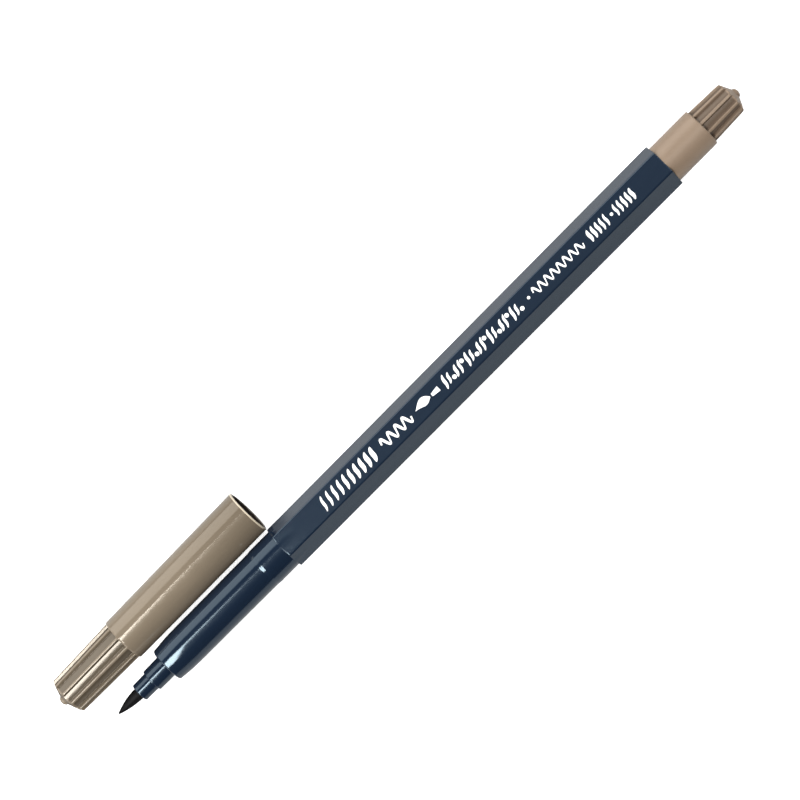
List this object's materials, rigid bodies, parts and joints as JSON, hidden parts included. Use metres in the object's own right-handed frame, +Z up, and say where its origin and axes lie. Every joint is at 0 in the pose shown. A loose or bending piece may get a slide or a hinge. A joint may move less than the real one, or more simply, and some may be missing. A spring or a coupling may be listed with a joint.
{
  "type": "calligraphy brush marker",
  "caption": "Brush marker with a six-sided barrel, round grip, flexible fibre brush in a stepped holder, fluted end plug and a fluted push-on cap lying beside it.",
  "frame": {"origin": "middle of the flat side of the barrel that the pen lies on, on the surface it lies on", "axes": "+X along the pen from the brush to the end plug, +Y to the side where the cap lies, +Z up from the surface"},
  "size_m": [0.1604, 0.018, 0.0091],
  "materials": {
    "barrel_plastic": "dark navy glossy moulded plastic",
    "holder_plastic": "dark navy glossy moulded plastic",
    "brush_fibre": "fine ink-black fibre point with a soft sheen",
    "stem_fibre": "bonded fibre rod soaked with black ink",
    "reservoir_felt": "polyester felt soaked with black ink",
    "film": "thin clear film",
    "plug_plastic": "taupe satin moulded plastic",
    "cap_plastic": "taupe glossy moulded plastic",
    "liner_plastic": "soft pale moulded plastic"
  },
  "bodies": {
    "pen": {"barrel": "barrel_plastic", "nib_holder": "holder_plastic", "brush_stem": "stem_fibre", "ink_reservoir": "reservoir_felt", "reservoir_film": "film", "end_plug": "plug_plastic"},
    "cap_body": {"cap": "cap_plastic", "cap_liner": "liner_plastic"},
    "brush_body": {"brush_tip": "brush_fibre"}
  },
  "joints": [
    {"name": "cap_pull_off", "type": "slide", "parent": "pen", "child": "cap_body", "axis": [-0.9999, -0.0096, -0.0053], "range_m": [0, 0.05]},
    {"name": "brush_flex", "type": "hinge", "parent": "pen", "child": "brush_body", "pos_m": [-0.08375, 0, 0.0038], "axis": [0, 0, 1], "range_deg": [-20, 20], "stiffness_Nm_per_rad": 0.0008}
  ]
}
